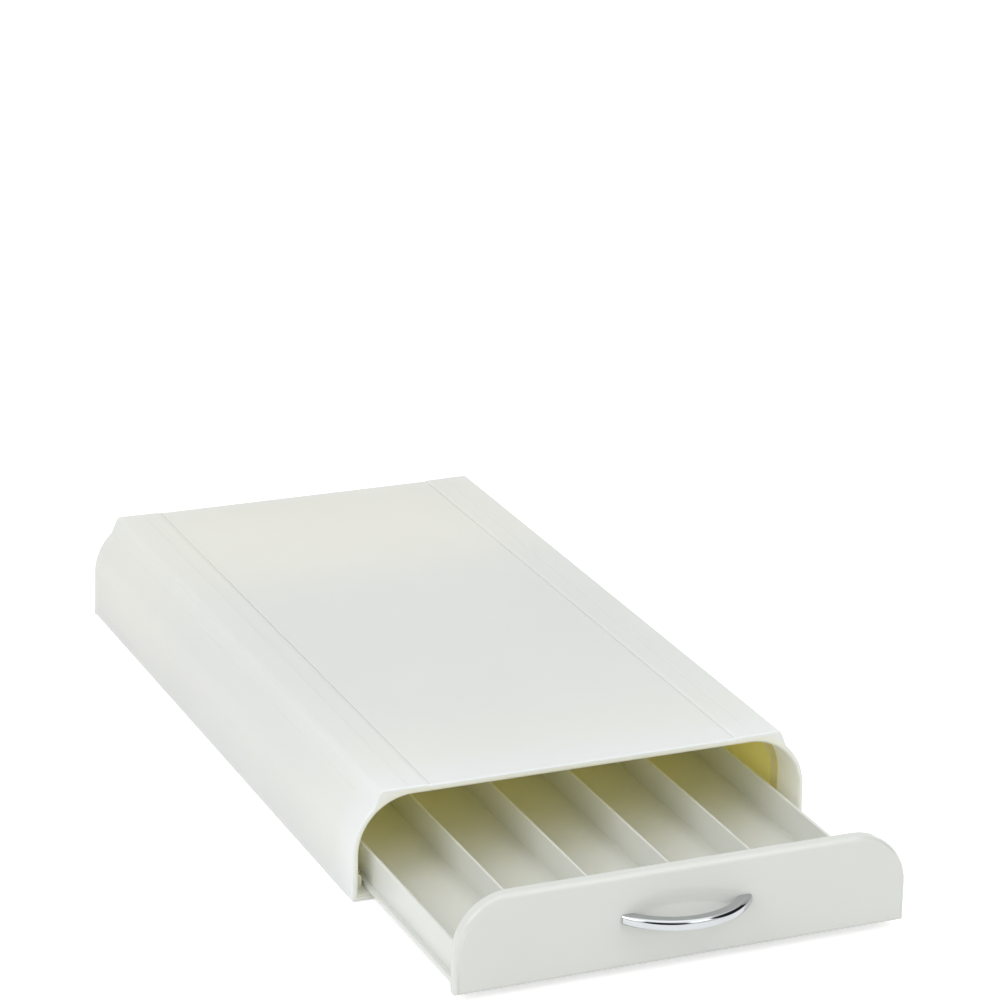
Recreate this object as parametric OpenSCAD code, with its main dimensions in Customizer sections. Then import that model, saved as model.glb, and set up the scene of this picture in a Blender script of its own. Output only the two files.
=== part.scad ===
// Low coffee pod drawer: a moulded sleeve that carries a coffee machine on its deck,
// with a shallow five-lane drawer that slides out of the front.
// X runs across the front, Y runs from the front to the back, Z is up.
// The origin is on the counter, under the middle of the unit as it stands, drawer part open.

/* [Housing] */
// Width of the housing at its foot
body_w = 230; // [210:2:260]
// Depth of the housing
body_d = 390; // [340:5:430]
// Height from the counter to the deck
body_h = 54; // [50:1:64]
// Thickness of the sides and shoulders
wall = 2.8; // [2:0.2:3.4]
// Thickness of the deck
deck_t = 3.8; // [3:0.2:5]
// Thickness of the back wall
back_t = 2.8; // [2:0.2:4]
// How far the foot of each side stands out from the shoulder
side_flare = 0.3; // [0.2:0.1:1]
// Outer radius of the two shoulders
arch_r = 29.4; // [26:0.2:31]
// How far the deck stands above the top of the shoulders
deck_rise = 1; // [0.4:0.2:1.6]

/* [Deck] */
// Width of the raised deck
deck_w = 202; // [190:2:210]
// Radius along the deck's edges
deck_edge_r = 4; // [2:0.1:4]
// Radius of the cove where the deck meets the shoulder
cove_r = 3; // [2:0.2:4]
// Width of the sunk field that the machine stands on
field_w = 155; // [120:1:170]
// Depth of the sunk field
field_drop = 0.6; // [0.3:0.1:1]
// Width between the two fine lines outside the field
line_w = 174; // [172:1:180]
// Depth of the fine lines
line_drop = 0.25; // [0.15:0.05:0.3]

/* [Runners] */
// Width of the flange under each side, which carries the tray
flange_w = 20; // [16:1:26]
// Thickness of the flanges
flange_t = 3; // [2:0.2:3.4]
// Running gap between the tray and what guides it
run_gap = 0.3; // [0.2:0.05:0.5]
// Thickness of the ledge that holds the tray's lip down
ledge_t = 1.6; // [1.2:0.2:2.4]
// How far the ledge reaches over the lip
ledge_bite = 1.4; // [0.8:0.2:2]
// Distance from the front to the first rib
rib_y = 22; // [17:1:26]
// Thickness of the ribs
rib_t = 1.6; // [1.4:0.2:3]
// How far the ribs stand in from the side
rib_h = 3; // [2:0.5:5]
// Number of ribs along each side
rib_count = 4; // [2:1:6]

/* [Tray] */
// How far the drawer stands open
pull_out = 111.5; // [40:0.5:200]
// How far the drawer opens before its lugs meet the clips
full_open = 300; // [240:5:320]
// Space between the tray and the side of the housing
side_gap = 8.2; // [7.6:0.2:10]
// Space left behind the closed tray
rear_gap = 3; // [1:0.5:6]
// Height of the tray's walls
tray_h = 17; // [12:0.5:26]
// Thickness of the tray's sides
tray_side_t = 1.8; // [1.4:0.2:3]
// Thickness of the tray's front and back walls
tray_end_t = 2.4; // [2:0.2:3.4]
// Thickness of the tray's floor
floor_t = 2; // [1.4:0.2:3]
// Width of the lip along each side of the tray
lip_w = 2.4; // [1.6:0.2:3]
// Thickness of the lip
lip_t = 2.2; // [1.6:0.2:3]
// Length of the stop lugs on the lip
lug_l = 8; // [5:1:14]
// How far the stop lugs stand out from the lip
lug_w = 4.2; // [3:0.2:4.6]

/* [Dividers] */
// Thickness of a divider
divider_t = 1.5; // [1:0.1:2]
// How far a divider stands below the tray's walls
divider_low = 0.2; // [0:0.1:4]
// Depth of the slots that hold the dividers
slot_depth = 1.2; // [0.6:0.1:1.4]
// Clearance round a divider in its slots
slot_gap = 0.1; // [0.05:0.05:0.2]

/* [Front panel] */
// Depth of the panel, with its rim
panel_d = 6.2; // [5:0.2:9]
// Thickness of the panel's face
plate_t = 2.6; // [2:0.2:3.4]
// Thickness of the panel's rim
rim_t = 2; // [1.4:0.2:3]
// Gap between the panel and the sides of the opening
panel_gap = 2.2; // [1:0.1:3]
// Gap between the panel and the top of the opening
panel_top_gap = 1.4; // [0.6:0.1:3]
// How much smaller the panel's corner radius is than the opening's
corner_ease = 0.4; // [0:0.1:2]

/* [Handle] */
// Width of the handle over its feet
handle_w = 65; // [56:1:90]
// How far the handle stands out from the panel
handle_out = 17; // [14:0.2:26]
// Thickness of the bow at its middle
bow_t = 6; // [5:0.2:8]
// Width of each foot of the handle
handle_foot_w = 7.2; // [7:0.2:9]
// Height of the handle's section
handle_h = 5; // [4.6:0.2:8]
// Height of the handle above the counter
handle_z = 27.8; // [25.6:0.1:34]

/* [Screws] */
// Radius of a handle screw's shank
handle_screw_r = 1.5; // [1.2:0.1:1.6]
// How deep a handle screw goes into its foot
handle_screw_in = 3.6; // [2.6:0.2:4]
// Metal left between a handle screw and the inside of its foot
foot_wall = 0.8; // [0.5:0.1:1.2]
// Radius of a panel screw's shank
panel_screw_r = 1.4; // [1.1:0.1:1.6]
// Radius of the screw heads
screw_head_r = 2.8; // [2.4:0.1:3.2]
// Height of the screw heads
screw_head_h = 1.8; // [1.4:0.1:2.2]
// Radius of the bosses behind the panel
boss_r = 3.6; // [3.2:0.1:4.4]
// Height of the bosses behind the handle's feet
handle_boss_h = 1.6; // [1:0.2:2.4]
// Clearance of a screw in its thread
thread_gap = 0.05; // [0.03:0.01:0.1]
// Clearance of a screw in a plain hole
hole_gap = 0.2; // [0.1:0.05:0.3]

/* [Stop clips] */
// Distance from the closed panel to a stop clip
clip_y_gap = 0.8; // [0.5:0.1:2]
// Space between a stop clip and the ledge behind it
ledge_y_gap = 1; // [0.6:0.1:2]
// Length of a stop clip
clip_l = 8; // [5:0.5:9]
// Width of a stop clip
clip_w = 4; // [3:0.2:4.4]
// Height of a stop clip above its flange
clip_h = 7; // [4.6:0.2:8]
// Radius of the peg that holds a clip in its flange
peg_r = 1.4; // [1:0.1:1.7]

/* [Feet] */
// Length of a foot pad
pad_l = 40; // [20:1:60]
// Width of a foot pad
pad_w = 12; // [8:1:13]
// Thickness of a foot pad
pad_t = 1.4; // [1:0.1:1.8]
// How far a foot pad stands below the housing
pad_proud = 0.6; // [0.4:0.1:0.8]
// Distance from a pad to the end of the housing
pad_inset = 26; // [20:1:60]
// Clearance round a pad in its pocket
pad_gap = 0.2; // [0.1:0.05:0.4]

/* [Hidden] */
$fn = 96;

LANES = 5;                     // lanes across the tray
OVER = 1;                      // how far a cutting shape runs past what it cuts
SEAT = 0.5;                    // how far a joined shape is sunk into its wall

// Heights, from the counter up
base_z = pad_proud;
flange_z = base_z + flange_t;
tray_z = flange_z + run_gap;
floor_z = tray_z + floor_t;
tray_top = tray_z + tray_h;
lip_top = tray_z + lip_t;
ledge_z = lip_top + run_gap;
opening_top = body_h - deck_t;
arch_top = body_h - deck_rise;
arch_z = arch_top - arch_r;
screw_z = (floor_z + tray_top) / 2;

// Half widths, from the middle out
shell_half = body_w / 2 - side_flare;
opening_half = shell_half - wall;
opening_r = opening_top - arch_z;
panel_r = opening_r - corner_ease;
panel_top = opening_top - panel_top_gap;
flange_half = body_w / 2 - flange_w;
tray_half = opening_half - side_gap;
lip_half = tray_half + lip_w;
ledge_half = lip_half - ledge_bite;
panel_half = opening_half - panel_gap;
deck_half = deck_w / 2;
arch_x = shell_half - arch_r;
lane_pitch = (2 * tray_half - tray_side_t) / LANES;

// Places along the depth
front_y = -(body_d - pull_out - handle_out) / 2;
back_y = front_y + body_d;
panel_y = front_y - pull_out;
tray_y = panel_y + panel_d;
tray_l = body_d - back_t - rear_gap - panel_d;
tray_back = tray_y + tray_l;
clip_y = front_y + panel_d + clip_y_gap;
ledge_y = clip_y + clip_l + ledge_y_gap;
lug_y = clip_y + clip_l + full_open + run_gap - pull_out;
rib_step = (body_d - back_t - rib_y) / rib_count;

// The bow of the handle is the space between two arcs that stand on the panel
function arc_radius(half_chord, rise) =
    (half_chord * half_chord + rise * rise) / (2 * rise);
bow_outer_r = arc_radius(handle_w / 2, handle_out);
bow_inner_r = arc_radius(handle_w / 2 - handle_foot_w, handle_out - bow_t);
handle_screw_x = handle_w / 2 - handle_foot_w + foot_wall + handle_screw_r;

// Runs a flat outline along Y: its X stays across and its Y becomes the height
module along_y(y, length) {
    translate([0, y + length, 0])
        rotate([90, 0, 0])
            linear_extrude(length) children();
}

// A bar between two places across, along the depth and in height
module bar(x0, x1, y0, y1, z0, z1) {
    translate([x0, y0, z0]) cube([x1 - x0, y1 - y0, z1 - z0]);
}

module both_sides() {
    children();
    mirror([1, 0, 0]) children();
}

// Flat-bottomed outline with two rounded top corners
module arch_outline(half, bottom, top, r) {
    translate([-half, bottom]) square([2 * half, top - r - bottom]);
    translate([-(half - r), bottom]) square([2 * (half - r), top - bottom]);
    for (side = [-1, 1])
        translate([side * (half - r), top - r])
            intersection() {
                circle(r);
                translate([-r, 0]) square([2 * r, r]);
            }
}

// Fills the corner between the deck's edge and the shoulder with a hollow curve
module cove_outline() {
    reach = arch_r + cove_r;
    cove_x = deck_half + cove_r;
    cove_z = arch_z + sqrt(reach * reach - pow(cove_x - arch_x, 2));
    share = arch_r / reach;
    touch = [arch_x + (cove_x - arch_x) * share, arch_z + (cove_z - arch_z) * share];
    inner_x = deck_half - cove_r;
    difference() {
        polygon([[inner_x, cove_z], [cove_x, cove_z], touch, [inner_x, touch.y - cove_r]]);
        translate([cove_x, cove_z]) circle(cove_r);
    }
}

module deck_outline() {
    difference() {
        arch_outline(deck_half, arch_z, body_h, deck_edge_r);
        translate([-field_w / 2, body_h - field_drop]) square([field_w, OVER]);
        translate([-line_w / 2, body_h - line_drop]) square([line_w, OVER]);
    }
}

module shell_outline() {
    arch_outline(shell_half, arch_z - OVER, arch_top, arch_r);
    polygon([[-shell_half, arch_z], [shell_half, arch_z],
        [body_w / 2, base_z], [-body_w / 2, base_z]]);
    deck_outline();
    cove_outline();
    mirror([1, 0]) cove_outline();
}

// The hollow is wide above the flanges and narrow between them
module hollow_outline() {
    arch_outline(opening_half, flange_z, opening_top, opening_r);
    translate([-flange_half, base_z - OVER])
        square([2 * flange_half, flange_z - base_z + 2 * OVER]);
}

// A hoop rib runs down the hollow of the shoulder and the side, from the deck to the ledge
module rib(y) {
    along_y(y, rib_t)
        intersection() {
            difference() {
                arch_outline(opening_half + SEAT, ledge_z, opening_top + SEAT, opening_r + SEAT);
                arch_outline(opening_half - rib_h, ledge_z - OVER, opening_top - rib_h,
                    opening_r - rib_h);
            }
            translate([arch_x, ledge_z]) square([opening_r + SEAT, body_h - ledge_z]);
        }
}

function pad_x() = body_w / 2 - flange_w / 2;
function pad_y(row) = row == 0 ? front_y + pad_inset : back_y - pad_inset - pad_l;
function peg_place(side) = [side * (opening_half - run_gap - clip_w / 2), clip_y + clip_l / 2];

module housing() {
    color("#E4E6E2")
    difference() {
        union() {
            difference() {
                along_y(front_y, body_d) shell_outline();
                along_y(front_y - OVER, body_d - back_t + OVER) hollow_outline();
            }
            both_sides() {
                bar(ledge_half, opening_half + SEAT, ledge_y, back_y - back_t + SEAT,
                    ledge_z, ledge_z + ledge_t);
                for (i = [0 : rib_count - 1]) rib(front_y + rib_y + i * rib_step);
            }
        }
        for (side = [-1, 1])
            for (row = [0, 1])
                translate([side * pad_x() - pad_w / 2 - pad_gap, pad_y(row) - pad_gap, 0])
                    cube([pad_w + 2 * pad_gap, pad_l + 2 * pad_gap, pad_t]);
        for (side = [-1, 1])
            translate([peg_place(side).x, peg_place(side).y, 0])
                cylinder(r = peg_r + thread_gap, h = flange_z + OVER);
    }
}

// A pad of soft foam rubber, stuck in a pocket under the flange
module foot_pad(side, row) {
    color("#3C3D40")
    translate([side * pad_x() - pad_w / 2, pad_y(row), 0])
        cube([pad_w, pad_l, pad_t]);
}

// A nylon block with a round head, held by a peg; it stops the tray's lug
module stop_clip(side) {
    place = peg_place(side);
    head_r = clip_w / 2;
    color("#DCDDBE") {
        translate([place.x - clip_w / 2, clip_y, flange_z])
            cube([clip_w, clip_l, clip_h - head_r]);
        translate([place.x, clip_y + clip_l, flange_z + clip_h - head_r])
            rotate([90, 0, 0]) cylinder(r = head_r, h = clip_l);
        translate([place.x, place.y, base_z])
            cylinder(r = peg_r, h = flange_t + SEAT);
    }
}

function divider_x(i) = (i - LANES / 2) * lane_pitch;

// Four panel screws, one in each lane except the middle one
function panel_screw_x(i) = (i < 2 ? i - 2 : i - 1) * lane_pitch;

module divider_slots() {
    half = divider_t / 2 + slot_gap;
    for (i = [1 : LANES - 1]) {
        bar(divider_x(i) - half, divider_x(i) + half,
            tray_y + tray_end_t - slot_depth, tray_y + tray_end_t + OVER, floor_z, tray_top + OVER);
        bar(divider_x(i) - half, divider_x(i) + half,
            tray_back - tray_end_t - OVER, tray_back - tray_end_t + slot_depth,
            floor_z, tray_top + OVER);
    }
}

module tray() {
    color("#E2E3DC")
    difference() {
        union() {
            bar(-tray_half, tray_half, tray_y, tray_back, tray_z, tray_top);
            bar(-lip_half, lip_half, tray_y, tray_back, tray_z, lip_top);
            bar(-lip_half - lug_w, lip_half + lug_w, lug_y, lug_y + lug_l, tray_z, lip_top);
        }
        bar(-tray_half + tray_side_t, tray_half - tray_side_t,
            tray_y + tray_end_t, tray_back - tray_end_t, floor_z, tray_top + OVER);
        divider_slots();
        for (i = [0 : 3])
            translate([panel_screw_x(i), tray_y - OVER, screw_z])
                rotate([-90, 0, 0])
                    cylinder(r = panel_screw_r + hole_gap, h = tray_end_t + 2 * OVER);
    }
}

module divider(i) {
    color("#DEDFD8")
    bar(divider_x(i) - divider_t / 2, divider_x(i) + divider_t / 2,
        tray_y + tray_end_t - slot_depth + slot_gap,
        tray_back - tray_end_t + slot_depth - slot_gap,
        floor_z, tray_top - divider_low);
}

// Holes and bosses of the panel's six screws, from a place on the back of its face
module on_panel_back(x, z) {
    translate([x, panel_y + plate_t, z]) rotate([-90, 0, 0]) children();
}

module front_panel() {
    color("#DBDDD7")
    difference() {
        union() {
            difference() {
                along_y(panel_y, panel_d)
                    arch_outline(panel_half, tray_z, panel_top, panel_r);
                along_y(panel_y + plate_t, panel_d)
                    arch_outline(panel_half - rim_t, tray_z + rim_t, panel_top - rim_t,
                        panel_r - rim_t);
            }
            for (i = [0 : 3])
                on_panel_back(panel_screw_x(i), screw_z)
                    cylinder(r = boss_r, h = panel_d - plate_t);
            for (side = [-1, 1])
                on_panel_back(side * handle_screw_x, handle_z)
                    cylinder(r = boss_r, h = handle_boss_h);
        }
        for (i = [0 : 3])
            on_panel_back(panel_screw_x(i), screw_z)
                cylinder(r = panel_screw_r + thread_gap, h = panel_d);
        for (side = [-1, 1])
            translate([side * handle_screw_x, panel_y - OVER, handle_z])
                rotate([-90, 0, 0])
                    cylinder(r = handle_screw_r + hole_gap, h = panel_d);
    }
}

// Shank forward, along -Y, from the underside of the head
module screw(shank_r, length) {
    rotate([90, 0, 0]) cylinder(r = shank_r, h = length);
    rotate([-90, 0, 0]) cylinder(r = screw_head_r, h = screw_head_h);
}

module panel_screw(i) {
    color("#B9BBBD")
    translate([panel_screw_x(i), tray_y + tray_end_t, screw_z])
        screw(panel_screw_r, tray_end_t + panel_d - plate_t - thread_gap);
}

module handle_screw(side) {
    color("#B9BBBD")
    translate([side * handle_screw_x, panel_y + plate_t + handle_boss_h, handle_z])
        screw(handle_screw_r, plate_t + handle_boss_h + handle_screw_in - thread_gap);
}

module handle() {
    color("#C9CCCE")
    difference() {
        translate([0, panel_y - handle_out + bow_outer_r, handle_z - handle_h / 2])
            cylinder(r = bow_outer_r, h = handle_h);
        translate([0, panel_y - handle_out + bow_t + bow_inner_r, handle_z - handle_h])
            cylinder(r = bow_inner_r, h = 2 * handle_h);
        translate([-handle_w, panel_y, handle_z - handle_h])
            cube([2 * handle_w, 2 * bow_outer_r, 2 * handle_h]);
        for (side = [-1, 1])
            translate([side * handle_screw_x, panel_y + OVER, handle_z])
                rotate([90, 0, 0])
                    cylinder(r = handle_screw_r + thread_gap, h = handle_screw_in + OVER);
    }
}

housing();
foot_pad(-1, 0);  // foot_front_left
foot_pad(1, 0);  // foot_front_right
foot_pad(-1, 1);  // foot_rear_left
foot_pad(1, 1);  // foot_rear_right
stop_clip(-1);  // stop_clip_left
stop_clip(1);  // stop_clip_right
tray();
divider(1);  // divider_1
divider(2);  // divider_2
divider(3);  // divider_3
divider(4);  // divider_4
front_panel();
panel_screw(0);  // panel_screw_1
panel_screw(1);  // panel_screw_2
panel_screw(2);  // panel_screw_3
panel_screw(3);  // panel_screw_4
handle();
handle_screw(-1);  // handle_screw_left
handle_screw(1);  // handle_screw_right
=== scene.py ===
# %% [markdown]
# # Dressing a coffee pod drawer
#
# This lesson takes a coffee pod drawer that is already built as exact parts, and gives it the
# look of the real thing: glossy moulded plastic, a chromed bow pull and small steel screws.
# The exact parts come in as a fixed frame. They say where everything is, and which pieces move
# together, so a piece that is modelled here is made where it belongs and is never fitted.
#
# Blender works in metres, and a designer thinks in millimetres. A function called mm turns one
# into the other, so that every size below can be read as a real one.

# %% Load the frame
import math

import bmesh
import bpy
from mathutils import Matrix, Vector


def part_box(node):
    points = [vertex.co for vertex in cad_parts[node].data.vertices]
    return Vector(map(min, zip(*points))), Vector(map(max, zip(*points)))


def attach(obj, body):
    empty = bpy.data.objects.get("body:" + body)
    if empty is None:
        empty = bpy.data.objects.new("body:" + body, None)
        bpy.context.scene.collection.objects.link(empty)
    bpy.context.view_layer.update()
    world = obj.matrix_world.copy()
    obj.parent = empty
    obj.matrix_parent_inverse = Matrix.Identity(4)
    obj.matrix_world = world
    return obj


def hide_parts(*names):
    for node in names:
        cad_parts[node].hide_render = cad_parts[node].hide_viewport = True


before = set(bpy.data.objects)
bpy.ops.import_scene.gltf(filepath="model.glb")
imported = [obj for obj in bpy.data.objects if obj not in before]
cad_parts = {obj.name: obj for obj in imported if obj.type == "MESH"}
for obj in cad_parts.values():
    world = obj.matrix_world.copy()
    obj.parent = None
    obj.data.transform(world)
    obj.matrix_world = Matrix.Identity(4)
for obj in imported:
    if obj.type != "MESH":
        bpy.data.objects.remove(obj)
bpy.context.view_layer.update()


def mm(value):
    """Millimetres as metres."""
    return value / 1000


# %% [markdown]
# ## Where things are
#
# A node's box gives the size of a simple piece outright. What a box can't tell is the shape
# between its corners, such as the radius of a shoulder, so those few sizes get names.

# %% Read the main sizes from the frame
housing_low, housing_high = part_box("housing")
panel_low, panel_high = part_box("front_panel")
tray_low, tray_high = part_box("tray")
handle_low, handle_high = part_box("handle")

FRONT_Y, BACK_Y = housing_low.y, housing_high.y
BASE_Z, DECK_Z = housing_low.z, housing_high.z

SIDE_FLARE = mm(0.3)
SHOULDER_RADIUS = mm(29.4)
DECK_RISE = mm(1)

SHELL_HALF = housing_high.x - SIDE_FLARE
SHOULDER_Z = DECK_Z - DECK_RISE - SHOULDER_RADIUS
SHOULDER_X = SHELL_HALF - SHOULDER_RADIUS
print("housing", [round(1000 * side, 1) for side in housing_high - housing_low], "mm")

# %% [markdown]
# ## The camera
#
# The camera comes first, so that every render shows the view that matters. It stands to
# the left of the drawer and above it, 1.9 m away with a long lens, which keeps the sides of a
# low object nearly parallel. The angles below turn a camera that looks along +Y: first round
# the vertical, then down, then a small roll about its own line of sight.

# %% Set up the camera
CAMERA_AZIMUTH = math.radians(-23.34)
CAMERA_ELEVATION = math.radians(19.54)
CAMERA_ROLL = math.radians(1.19)
CAMERA_DISTANCE = mm(1861.5)
CAMERA_AIM = Vector((mm(-15.86), mm(-61.75), mm(160.7)))
CAMERA_LENS = 143.4


def make_camera():
    turn = (
        Matrix.Rotation(CAMERA_AZIMUTH, 4, "Z")
        @ Matrix.Rotation(math.pi / 2 - CAMERA_ELEVATION, 4, "X")
        @ Matrix.Rotation(CAMERA_ROLL, 4, "Z")
    )
    data = bpy.data.cameras.new("camera")
    data.lens = CAMERA_LENS
    camera = bpy.data.objects.new("camera", data)
    back = turn @ Vector((0, 0, CAMERA_DISTANCE))
    camera.matrix_world = Matrix.Translation(CAMERA_AIM + back) @ turn
    bpy.context.scene.collection.objects.link(camera)
    bpy.context.scene.camera = camera
    return camera


camera = make_camera()
print("camera at", [round(place, 3) for place in camera.matrix_world.translation], "m")

# %% [markdown]
# ## Node helpers
#
# A material is a small graph of nodes. One function adds a node, sets what it is told to set,
# and links whatever is handed to it as a socket. Colours are hex codes, which are made for
# screens, so a second function turns them into the linear light that a renderer adds up.
#
# The patterns are noise, whose values seldom leave 0.3 to 0.7, so a ramp between those two
# uses all of the pattern. Blender counts a pattern's scale in repeats per metre, and a third
# function works that out from the size of its blobs in millimetres.

# %% Colour and node helpers
NOISE_LOW, NOISE_HIGH = 0.3, 0.7


def linear(code):
    """A hex colour such as #E4E6E2 as linear red, green, blue and full alpha."""
    channels = [int(code[place:place + 2], 16) / 255 for place in (1, 3, 5)]
    straight = [c / 12.92 if c <= 0.04045 else ((c + 0.055) / 1.055) ** 2.4 for c in channels]
    return (*straight, 1)


def add_node(tree, kind, sockets=None, stops=(), **settings):
    """Adds a node. A socket gets a value or another node's output, and a ramp its stops."""
    node = tree.nodes.new("ShaderNode" + kind)
    for name, value in settings.items():
        setattr(node, name, value)
    for name, value in (sockets or {}).items():
        if isinstance(value, bpy.types.NodeSocket):
            tree.links.new(value, node.inputs[name])
        else:
            node.inputs[name].default_value = value
    for number, (position, code) in enumerate(stops):
        elements = node.color_ramp.elements
        stop = elements[number] if number < len(elements) else elements.new(position)
        stop.position, stop.color = position, linear(code)
    return node


def per_metre(size_mm):
    """The scale of a pattern whose blobs are about size_mm across."""
    return 1000 / size_mm


def new_material(name):
    """An empty material with Object coordinates, a Principled shader and an output."""
    material = bpy.data.materials.new(name)
    material.use_nodes = True
    tree = material.node_tree
    tree.nodes.clear()
    place = add_node(tree, "TexCoord").outputs["Object"]
    shader = add_node(tree, "BsdfPrincipled")
    add_node(tree, "OutputMaterial", {"Surface": shader.outputs["BSDF"]})
    return material, tree, place, shader


def give_finish(tree, shader, tint, roughness, relief=None, height_mm=0):
    """Links a finish to its shader. Relief is a pattern that stands up by a real height."""
    tree.links.new(tint, shader.inputs["Base Color"])
    tree.links.new(roughness, shader.inputs["Roughness"])
    if relief is not None:
        bump = add_node(tree, "Bump", {
            "Height": relief, "Strength": 1.0, "Distance": mm(height_mm)})
        tree.links.new(bump.outputs["Normal"], shader.inputs["Normal"])


print("a pattern of 2 mm has a scale of", per_metre(2))

# %% [markdown]
# ## White gloss ABS
#
# The housing, tray and front panel are injection-moulded ABS, white right through. A mould
# that has been polished leaves a clean gloss with a very slight swim in the reflections, called
# orange peel. Handling leaves patches that are a touch duller. Three quiet patterns give
# that: a wide one for the colour, a middle one for the roughness, and a fine one for the bump.
#
# A wall of white ABS that is under 3 mm thick isn't opaque. A Translucent shader lets about a
# quarter of the light through the housing, so that its thin lip glows. The tray and the panel
# look solid, and go without. Their base colours are greyer copies of the same white, which is
# painted shade for the dimmer light on the front panel and on the tray.

# %% White gloss ABS
ABS_IOR = 1.54
CLOUD_SIZE = 90
HANDLING_SIZE = 28
PEEL_SIZE = 7
THROUGH_COLOUR = "#FFFFFA"
THROUGH_SHARE = 0.24


def let_light_through(tree, shader, share, colour):
    """Lets a share of the light pass through a wall, scattered and coloured on its way."""
    passing = add_node(tree, "BsdfTranslucent", {"Color": colour})
    both = add_node(tree, "MixShader", {
        0: share, 1: shader.outputs["BSDF"], 2: passing.outputs["BSDF"]})
    tree.links.new(both.outputs["Shader"], tree.nodes["Material Output"].inputs["Surface"])


def gloss_abs(name, colour, shade, roughness, peel, through=0):
    """White ABS from a polished mould. peel is the height of its orange peel in mm."""
    material, tree, place, shader = new_material(name)
    cloud = add_node(tree, "TexNoise", {"Vector": place, "Scale": per_metre(CLOUD_SIZE)})
    tint = add_node(tree, "ValToRGB", {"Fac": cloud.outputs["Fac"]},
                    stops=[(NOISE_LOW, shade), (NOISE_HIGH, colour)])
    touched = add_node(tree, "TexNoise", {
        "Vector": place, "Scale": per_metre(HANDLING_SIZE), "Detail": 3})
    handling = add_node(tree, "MapRange", {
        "Value": touched.outputs["Fac"], "To Min": roughness * 0.85, "To Max": roughness * 1.2})
    swim = add_node(tree, "TexNoise", {
        "Vector": place, "Scale": per_metre(PEEL_SIZE), "Detail": 1})
    give_finish(tree, shader, tint.outputs["Color"], handling.outputs["Result"],
                swim.outputs["Fac"], peel)
    shader.inputs["IOR"].default_value = ABS_IOR
    if through:
        let_light_through(tree, shader, through, linear(THROUGH_COLOUR))
    return material


housing_abs = gloss_abs("moulded_white_abs", "#F1F5F8", "#EEF2F5", 0.24, 0.012, THROUGH_SHARE)
# The greyer tray and panel colours are painted shade, not a different plastic.
tray_abs_painted_shade = gloss_abs("moulded_white_abs_tray_painted_shade", "#DDDFDB", "#DADCD7", 0.3, 0.01)
panel_abs_painted_shade = gloss_abs("polished_white_abs_panel_painted_shade", "#D6D8D3", "#D3D5D0", 0.12, 0.006)
print("made", housing_abs.name, tray_abs_painted_shade.name, "and", panel_abs_painted_shade.name)

# %% [markdown]
# ## The inside of the housing
#
# Inside the sleeve, light arrives only through the plastic and off the other walls, and every
# pass through ABS makes it a little yellower. That light is painted into the base colour with a
# ramp along Y, which is the depth. The painted light is pale in front of the first rib and yellow
# behind it, and further in it turns to a darker olive, which is painted shade. The material also
# lets more light through than the outside does. The inside faces the core of the mould, which
# isn't polished, so it is also less glossy.

# %% Core-side ABS with painted inner light
CORE_GRAIN = 1.2
CORE_SHARE = 0.6
# Depths at which the painted light turns from pale to yellow to olive.
PALE_DEPTH = mm(19.2)
YELLOW_DEPTH = mm(25.6)
OLIVE_DEPTH = mm(80)

inner_painted_light_abs, tree, place, shader = new_material("core_side_abs_painted_light")
along = add_node(tree, "SeparateXYZ", {"Vector": place}).outputs["Y"]
depth = add_node(tree, "MapRange", {
    "Value": along, "From Min": FRONT_Y, "From Max": FRONT_Y + OLIVE_DEPTH})
# Painted light along the depth: pale, then yellow, then a darker olive shade.
tint = add_node(tree, "ValToRGB", {"Fac": depth.outputs["Result"]}, stops=[
    (0, "#F4F4EC"), (PALE_DEPTH / OLIVE_DEPTH, "#F3F1DF"),
    (YELLOW_DEPTH / OLIVE_DEPTH, "#F2EA98"), (1, "#EADF80")]).outputs["Color"]
grain = add_node(tree, "TexNoise", {
    "Vector": place, "Scale": per_metre(CORE_GRAIN), "Detail": 3}).outputs["Fac"]
matt = add_node(tree, "MapRange", {"Value": grain, "To Min": 0.38, "To Max": 0.5})
give_finish(tree, shader, tint, matt.outputs["Result"], grain, 0.01)
shader.inputs["IOR"].default_value = ABS_IOR
let_light_through(tree, shader, CORE_SHARE, tint)
print("made", inner_painted_light_abs.name)

# %% [markdown]
# The end face of the lip shows a third colour, which is a painted glow. Light that entered the
# wall further back travels along it and comes out here, and that cream light is painted into the
# base colour of the thin edge. Above, where the wall grows thicker at the deck's corner, it is
# white. So the painted cream fades to white past the shoulder's circle.
#
# The distance from that circle's centre is the length of a vector. Its absolute value serves
# both sides, and MAXIMUM, which compares with zero, keeps it level below the shoulder. A Mix
# node has sockets for every kind of value, and four names say which ones a colour uses.

# %% Painted cream glow at the lip's end
MIX_FACTOR, MIX_FIRST, MIX_SECOND, MIX_RESULT = 0, 6, 7, 2
FADE = mm(1)
BEYOND_Y = 1


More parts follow.
